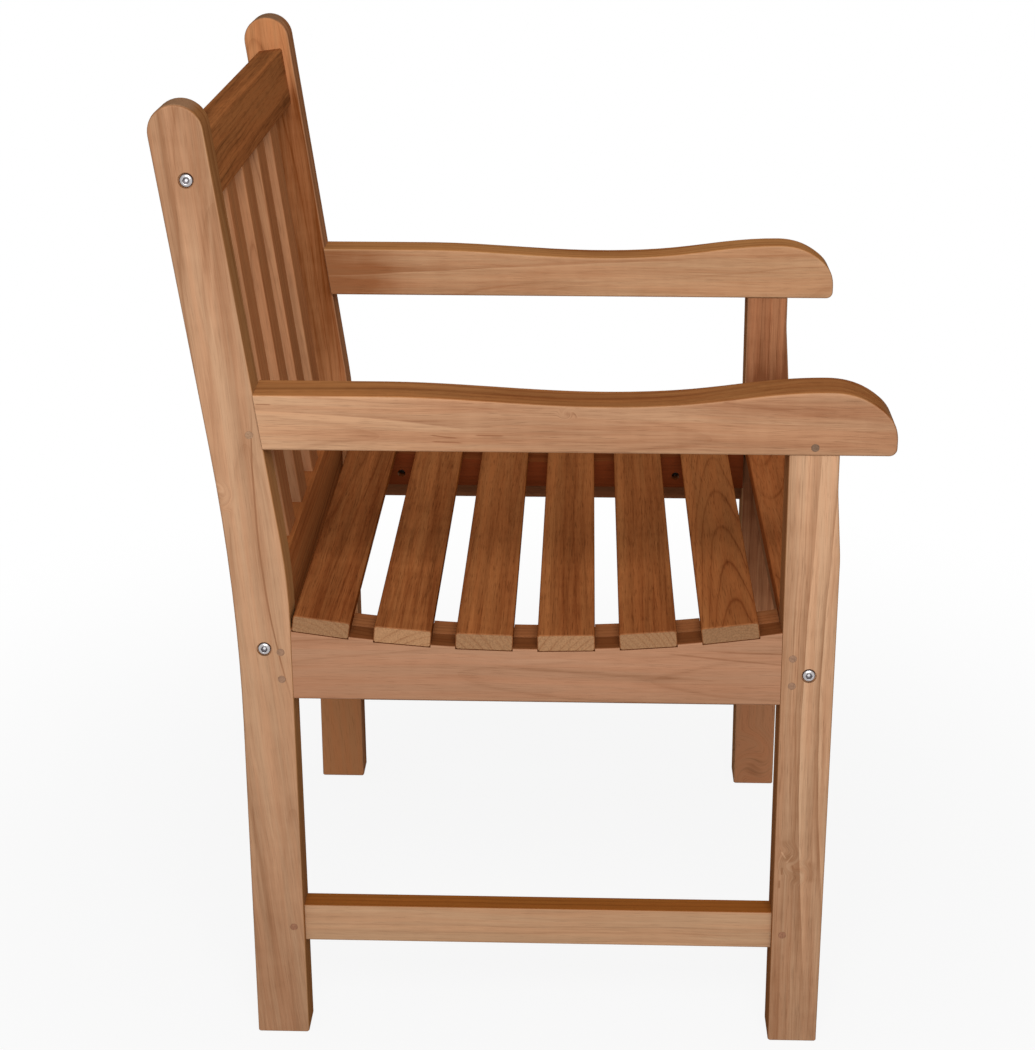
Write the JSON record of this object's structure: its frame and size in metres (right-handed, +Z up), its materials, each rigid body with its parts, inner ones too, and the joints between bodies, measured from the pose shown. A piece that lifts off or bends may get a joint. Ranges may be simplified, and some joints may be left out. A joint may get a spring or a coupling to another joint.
{
  "type": "garden armchair",
  "caption": "Teak garden armchair with raked back posts, a slatted back, a dished slatted seat and shaped arms, bolted together from pinned side frames.",
  "frame": {"origin": "on the floor under the middle of the chair's box", "axes": "+X to the sitter's left, -Y the way the sitter faces, +Z up"},
  "size_m": [0.58, 0.639, 0.9],
  "materials": {
    "frame_teak": "sanded bare teak",
    "seat_teak": "sanded bare teak",
    "back_teak": "sanded bare teak",
    "pin_wood": "sawn end grain, sanded flush",
    "stainless_steel": "bright stainless"
  },
  "bodies": {
    "root": {"arm_front_pins": "pin_wood", "arm_left": "frame_teak", "arm_rear_pins": "pin_wood", "arm_right": "frame_teak", "back_slat_1": "back_teak", "back_slat_2": "back_teak", "back_slat_3": "back_teak", "back_slat_4": "back_teak", "barrel_nuts": "stainless_steel", "batten_screws": "stainless_steel", "frame_bolts": "stainless_steel", "front_leg_left": "frame_teak", "front_leg_right": "frame_teak", "front_rail": "frame_teak", "front_seat_slat": "seat_teak", "front_slat_screws": "stainless_steel", "locating_dowels": "pin_wood", "lower_back_rail": "back_teak", "rear_leg_left": "frame_teak", "rear_leg_right": "frame_teak", "seat_batten_left": "frame_teak", "seat_batten_right": "frame_teak", "seat_slat_1": "seat_teak", "seat_slat_2": "seat_teak", "seat_slat_3": "seat_teak", "seat_slat_4": "seat_teak", "seat_slat_5": "seat_teak", "seat_slat_6": "seat_teak", "seat_slat_screws": "stainless_steel", "side_rail_left": "frame_teak", "side_rail_pins": "pin_wood", "side_rail_right": "frame_teak", "side_stretcher_left": "frame_teak", "side_stretcher_right": "frame_teak", "stretcher_pins": "pin_wood", "top_back_rail": "back_teak"}
  },
  "joints": []
}
